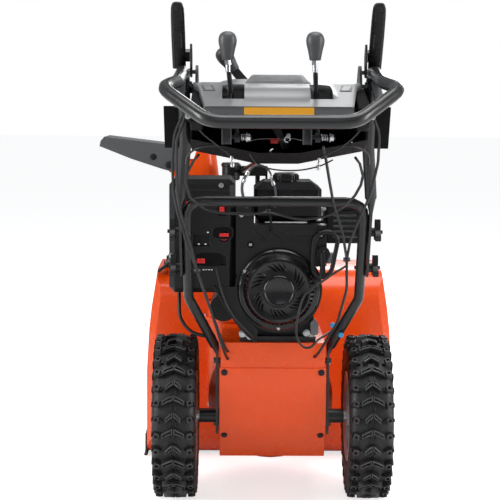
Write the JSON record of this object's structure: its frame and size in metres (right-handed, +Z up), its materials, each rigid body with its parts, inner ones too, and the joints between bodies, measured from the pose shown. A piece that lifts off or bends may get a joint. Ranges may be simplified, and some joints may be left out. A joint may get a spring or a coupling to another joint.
{
  "type": "two stage snowblower",
  "caption": "Walk-behind two stage snowblower: auger housing, turning discharge chute, engine on a wheeled drive box, and a folding handle with console and levers.",
  "frame": {"origin": "middle of the scraper bar's lower face, on the ground", "axes": "+Z up, +Y the way the machine travels, +X to the operator's right"},
  "size_m": [0.7383, 1.4825, 1.1127],
  "materials": {
    "orange_paint": "gloss",
    "dark_paint": "satin",
    "black_plastic": "textured",
    "gloss_black": "gloss",
    "silver_plastic": "satin",
    "grey_plastic": "satin",
    "tyre": "matte",
    "cable": "satin",
    "belt": "matte",
    "steel": "satin",
    "cast": "cast",
    "red_plastic": "gloss",
    "rim_paint": "satin"
  },
  "bodies": {
    "chassis": {"chassis_box": "orange_paint", "belly_pan": "orange_paint", "belt_cover": "black_plastic", "impeller_drum": "orange_paint", "auger_housing": "orange_paint", "scraper_bar": "dark_paint", "left_skid_shoe": "dark_paint", "right_skid_shoe": "dark_paint", "auger_gearbox": "cast", "engine_block": "cast", "fan_shroud": "black_plastic", "recoil_cover": "gloss_black", "fuel_tank": "gloss_black", "muffler": "steel", "muffler_guard": "black_plastic", "heater_box": "black_plastic", "electric_starter": "black_plastic", "lower_frame": "dark_paint", "chute_bracket": "black_plastic", "auger_belt": "belt", "drive_belt": "belt", "left_cables": "cable", "right_cables": "cable", "wiring": "cable"},
    "augers": {"auger_shaft": "steel", "left_auger": "dark_paint", "right_auger": "dark_paint"},
    "impeller_shaft": {"impeller": "orange_paint", "auger_pulley": "steel"},
    "crankshaft": {"engine_pulley": "steel"},
    "drive_disc": {"friction_disc": "steel"},
    "axle": {"axle_shaft": "steel"},
    "hex_drive": {"hex_shaft": "steel"},
    "rubber_wheel": {"friction_wheel": "belt"},
    "left_wheel": {"left_tyre": "tyre", "left_rim": "rim_paint"},
    "right_wheel": {"right_tyre": "tyre", "right_rim": "rim_paint"},
    "chute_body": {"chute": "orange_paint"},
    "chute_pinion": {"chute_drive": "steel"},
    "deflector_body": {"deflector": "grey_plastic"},
    "handle": {"upper_handle": "dark_paint", "console_shell": "black_plastic", "console_panel": "silver_plastic"},
    "chute_control": {"chute_lever": "grey_plastic"},
    "deflector_control": {"deflector_lever": "grey_plastic"},
    "speed_control": {"speed_lever": "grey_plastic"},
    "left_clutch": {"left_clutch_lever": "black_plastic"},
    "right_clutch": {"right_clutch_lever": "black_plastic"},
    "left_trigger": {"left_steering_trigger": "grey_plastic"},
    "right_trigger": {"right_steering_trigger": "grey_plastic"},
    "left_pivot_knob": {"left_lower_knob": "black_plastic"},
    "right_pivot_knob": {"right_lower_knob": "black_plastic"},
    "left_clamp_knob": {"left_upper_knob": "black_plastic"},
    "right_clamp_knob": {"right_upper_knob": "black_plastic"},
    "tank_cap": {"fuel_cap": "black_plastic"},
    "starter_handle": {"recoil_handle": "black_plastic"},
    "run_switch": {"ignition_key": "red_plastic"},
    "choke": {"choke_knob": "red_plastic"},
    "throttle": {"throttle_lever": "red_plastic"}
  },
  "joints": [
    {"name": "auger_spin", "type": "hinge", "parent": "chassis", "child": "augers", "pos_m": [0, 0.01, 0.168], "axis": [1, 0, 0], "continuous": true},
    {"name": "impeller_spin", "type": "hinge", "parent": "chassis", "child": "impeller_shaft", "pos_m": [0, -0.27, 0.205], "axis": [0, 1, 0], "continuous": true},
    {"name": "crank_spin", "type": "hinge", "parent": "chassis", "child": "crankshaft", "pos_m": [0.011, -0.37, 0.507], "axis": [0, 1, 0], "continuous": true},
    {"name": "disc_spin", "type": "hinge", "parent": "chassis", "child": "drive_disc", "pos_m": [0, -0.37, 0.3], "axis": [0, 1, 0], "continuous": true},
    {"name": "axle_spin", "type": "hinge", "parent": "chassis", "child": "axle", "pos_m": [0, -0.47, 0.1905], "axis": [1, 0, 0], "continuous": true},
    {"name": "hex_spin", "type": "hinge", "parent": "chassis", "child": "hex_drive", "pos_m": [0, -0.4405, 0.3], "axis": [1, 0, 0], "continuous": true},
    {"name": "friction_slide", "type": "slide", "parent": "hex_drive", "child": "rubber_wheel", "axis": [1, 0, 0], "range_m": [-0.045, 0.045]},
    {"name": "left_wheel_spin", "type": "hinge", "parent": "chassis", "child": "left_wheel", "pos_m": [-0.222, -0.47, 0.1905], "axis": [1, 0, 0], "continuous": true},
    {"name": "right_wheel_spin", "type": "hinge", "parent": "chassis", "child": "right_wheel", "pos_m": [0.222, -0.47, 0.1905], "axis": [1, 0, 0], "continuous": true},
    {"name": "chute_turn", "type": "hinge", "parent": "chassis", "child": "chute_body", "pos_m": [-0.09, -0.23, 0.384], "axis": [0, 0, 1], "range_deg": [-180, 0]},
    {"name": "chute_drive_spin", "type": "hinge", "parent": "chassis", "child": "chute_pinion", "pos_m": [-0.034, -0.304, 0.384], "axis": [0, 0, 1], "range_deg": [-5, 780]},
    {"name": "deflector_tilt", "type": "hinge", "parent": "chute_body", "child": "deflector_body", "pos_m": [-0.247, -0.23, 0.767], "axis": [0, 1, 0], "range_deg": [-35, 20]},
    {"name": "handle_fold", "type": "hinge", "parent": "chassis", "child": "handle", "pos_m": [0, -0.67715, 0.563], "axis": [1, 0, 0], "range_deg": [0, 75], "deforming": ["left_cables", "right_cables", "wiring"]},
    {"name": "chute_lever_turn", "type": "hinge", "parent": "handle", "child": "chute_control", "pos_m": [0.015, -0.907, 0.836], "axis": [-0.1433, 0.98, -0.1382], "range_deg": [0, 61]},
    {"name": "deflector_lever_swing", "type": "hinge", "parent": "handle", "child": "deflector_control", "pos_m": [-0.08, -1.07, 0.856], "axis": [1, 0, 0], "range_deg": [-10.5, 18]},
    {"name": "speed_lever_swing", "type": "hinge", "parent": "handle", "child": "speed_control", "pos_m": [0.072, -1.07, 0.856], "axis": [1, 0, 0], "range_deg": [-15.5, 15.5]},
    {"name": "left_clutch_squeeze", "type": "hinge", "parent": "handle", "child": "left_clutch", "pos_m": [-0.1718, -0.94, 0.98], "axis": [1, 0, 0], "range_deg": [0, 48], "stiffness_Nm_per_rad": 1.5, "springref_deg": -20.05},
    {"name": "left_trigger_squeeze", "type": "hinge", "parent": "handle", "child": "left_trigger", "pos_m": [-0.1905, -0.96, 0.953], "axis": [1, 0, 0], "range_deg": [-11, 0], "stiffness_Nm_per_rad": 0.8, "springref_deg": 17.19},
    {"name": "left_pivot_knob_turn", "type": "hinge", "parent": "chassis", "child": "left_pivot_knob", "pos_m": [-0.215, -0.67715, 0.563], "axis": [1, 0, 0], "continuous": true},
    {"name": "left_clamp_knob_turn", "type": "hinge", "parent": "handle", "child": "left_clamp_knob", "pos_m": [-0.215, -0.72449, 0.645], "axis": [1, 0, 0], "continuous": true},
    {"name": "right_clutch_squeeze", "type": "hinge", "parent": "handle", "child": "right_clutch", "pos_m": [0.1718, -0.94, 0.98], "axis": [1, 0, 0], "range_deg": [0, 48], "stiffness_Nm_per_rad": 1.5, "springref_deg": -20.05},
    {"name": "right_trigger_squeeze", "type": "hinge", "parent": "handle", "child": "right_trigger", "pos_m": [0.1905, -0.96, 0.953], "axis": [1, 0, 0], "range_deg": [-11, 0], "stiffness_Nm_per_rad": 0.8, "springref_deg": 17.19},
    {"name": "right_pivot_knob_turn", "type": "hinge", "parent": "chassis", "child": "right_pivot_knob", "pos_m": [0.215, -0.67715, 0.563], "axis": [1, 0, 0], "continuous": true},
    {"name": "right_clamp_knob_turn", "type": "hinge", "parent": "handle", "child": "right_clamp_knob", "pos_m": [0.215, -0.72449, 0.645], "axis": [1, 0, 0], "continuous": true},
    {"name": "fuel_cap_turn", "type": "hinge", "parent": "chassis", "child": "tank_cap", "pos_m": [0.028, -0.528, 0.745], "axis": [0, 0, 1], "range_deg": [0, 90]},
    {"name": "starter_pull", "type": "slide", "parent": "chassis", "child": "starter_handle", "axis": [0, -1, 0], "range_m": [0, 0.1], "stiffness_N_per_m": 20, "springref_m": -0.3},
    {"name": "run_switch_pull", "type": "slide", "parent": "chassis", "child": "run_switch", "axis": [0, -1, 0], "range_m": [0, 0.01]},
    {"name": "choke_turn", "type": "hinge", "parent": "chassis", "child": "choke", "pos_m": [-0.11, -0.62, 0.628], "axis": [0, 1, 0], "range_deg": [0, 90]},
    {"name": "throttle_slide", "type": "slide", "parent": "chassis", "child": "throttle", "axis": [1, 0, 0], "range_m": [0, 0.045]}
  ],
  "couplings": [
    {"joint": "impeller_spin", "follows": "auger_spin", "ratio": 10},
    {"joint": "crank_spin", "follows": "auger_spin", "ratio": 23.333},
    {"joint": "disc_spin", "follows": "auger_spin", "ratio": 14.259},
    {"joint": "hex_spin", "follows": "axle_spin", "ratio": -1.624},
    {"joint": "speed_lever_swing", "follows": "friction_slide", "rad_per_m": 5.8},
    {"joint": "chute_drive_spin", "follows": "chute_turn", "ratio": -4.2855},
    {"joint": "chute_lever_turn", "follows": "chute_turn", "ratio": -0.3333},
    {"joint": "deflector_lever_swing", "follows": "deflector_tilt", "ratio": -0.5}
  ]
}
